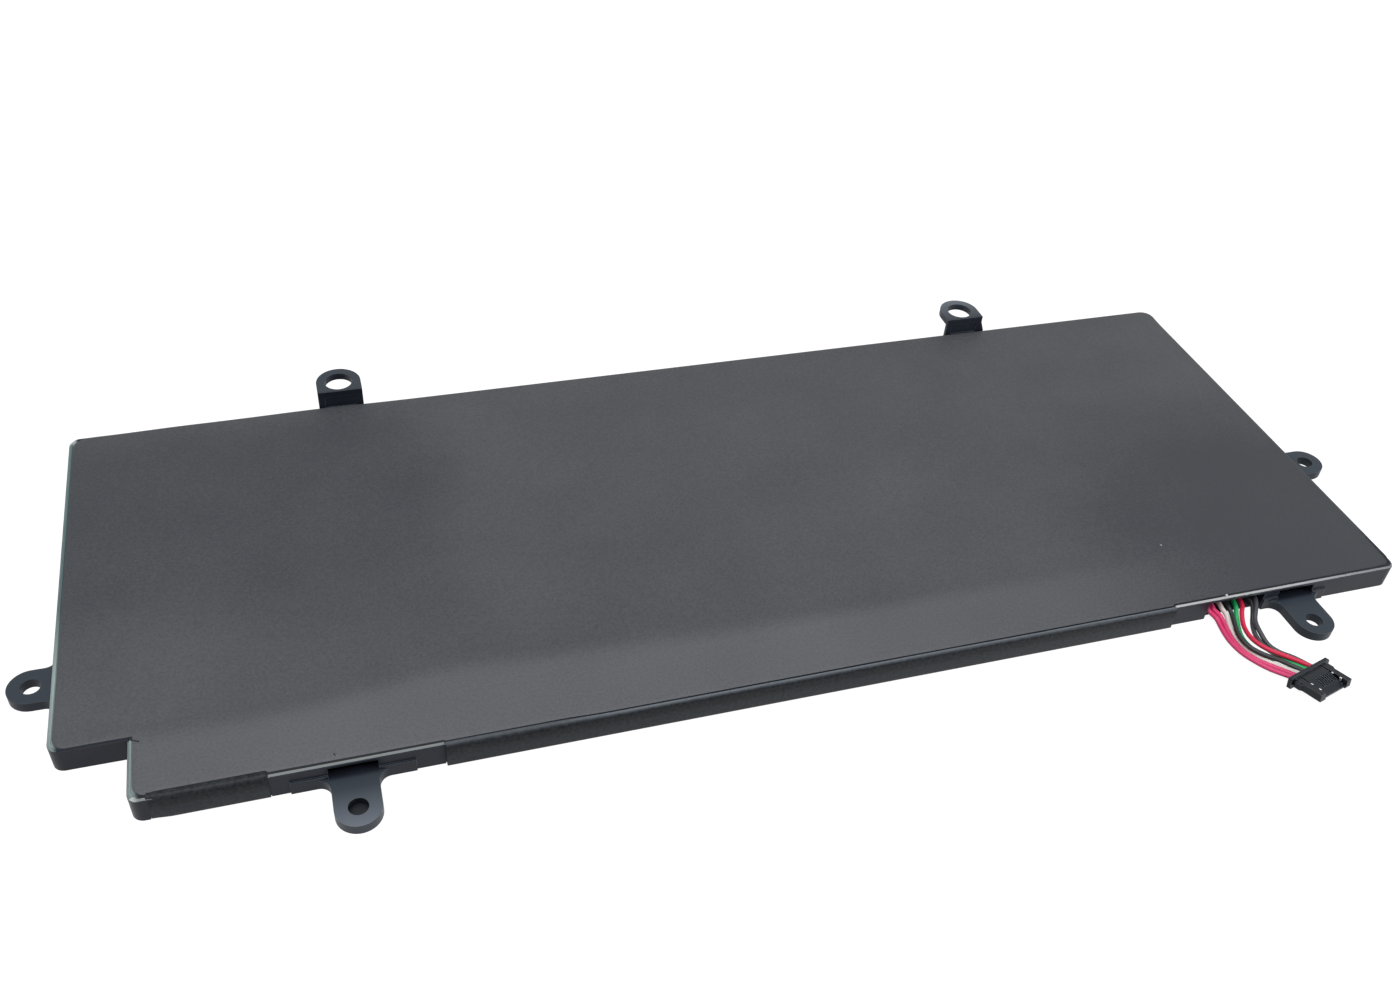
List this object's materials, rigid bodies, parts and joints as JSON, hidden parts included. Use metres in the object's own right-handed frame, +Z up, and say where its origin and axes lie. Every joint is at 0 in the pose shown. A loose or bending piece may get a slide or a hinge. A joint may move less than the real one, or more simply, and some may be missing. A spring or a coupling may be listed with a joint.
{
  "type": "lipo battery pack",
  "caption": "Flat internal lithium polymer pack: pouch cells in a slim moulded frame under grey film, screw ears round the edge, and a short multi-wire lead with a flat connector.",
  "frame": {"origin": "middle of the frame's underside, on the surface that the pack lies on", "axes": "+X along the pack towards the end with the lead, +Y away from the edge with the lead, +Z up out of the pack's top face"},
  "size_m": [0.3208, 0.1533, 0.0107],
  "materials": {
    "frame_plastic": "matte",
    "pack_film": "satin",
    "edge_film": "satin",
    "foam": "matte",
    "pouch_foil": "satin",
    "aluminium_tab": "satin",
    "nickel_tab": "satin",
    "adhesive": "matte",
    "circuit_board": "satin",
    "polyimide_tape": "gloss",
    "chip_epoxy": "matte",
    "ceramic": "matte",
    "solder": "satin",
    "wire_pink": "satin",
    "wire_white": "satin",
    "wire_black": "satin",
    "wire_green": "satin",
    "wire_red": "satin",
    "wire_grey": "satin",
    "connector_plastic": "matte",
    "contact_metal": "satin"
  },
  "bodies": {
    "root": {"frame": "frame_plastic", "top_film": "pack_film", "bottom_film": "pack_film", "long_edge_wrap": "edge_film", "short_edge_wrap": "edge_film", "edge_foam": "foam", "cell_1": "pouch_foil", "cell_2": "pouch_foil", "cell_3": "pouch_foil", "cell_4": "pouch_foil", "positive_tabs": "aluminium_tab", "negative_tabs": "nickel_tab", "upper_adhesive_pads": "adhesive", "lower_adhesive_pads": "adhesive", "protection_board": "circuit_board", "weld_pads": "nickel_tab", "tab_tape": "polyimide_tape", "control_chip": "chip_epoxy", "second_protector": "chip_epoxy", "mosfets": "chip_epoxy", "chip_fuse": "ceramic", "sense_resistor": "chip_epoxy", "thermal_cutoffs": "nickel_tab", "balance_resistors": "chip_epoxy", "capacitors": "ceramic", "resistors": "chip_epoxy", "thermistor": "chip_epoxy", "solder_joints": "solder", "wire_pink_1": "wire_pink", "wire_pink_2": "wire_pink", "wire_white": "wire_white", "wire_black": "wire_black", "wire_green": "wire_green", "wire_red": "wire_red", "wire_grey_1": "wire_grey", "wire_grey_2": "wire_grey", "connector_housing": "connector_plastic", "connector_contacts": "contact_metal", "connector_springs": "contact_metal"}
  },
  "joints": []
}
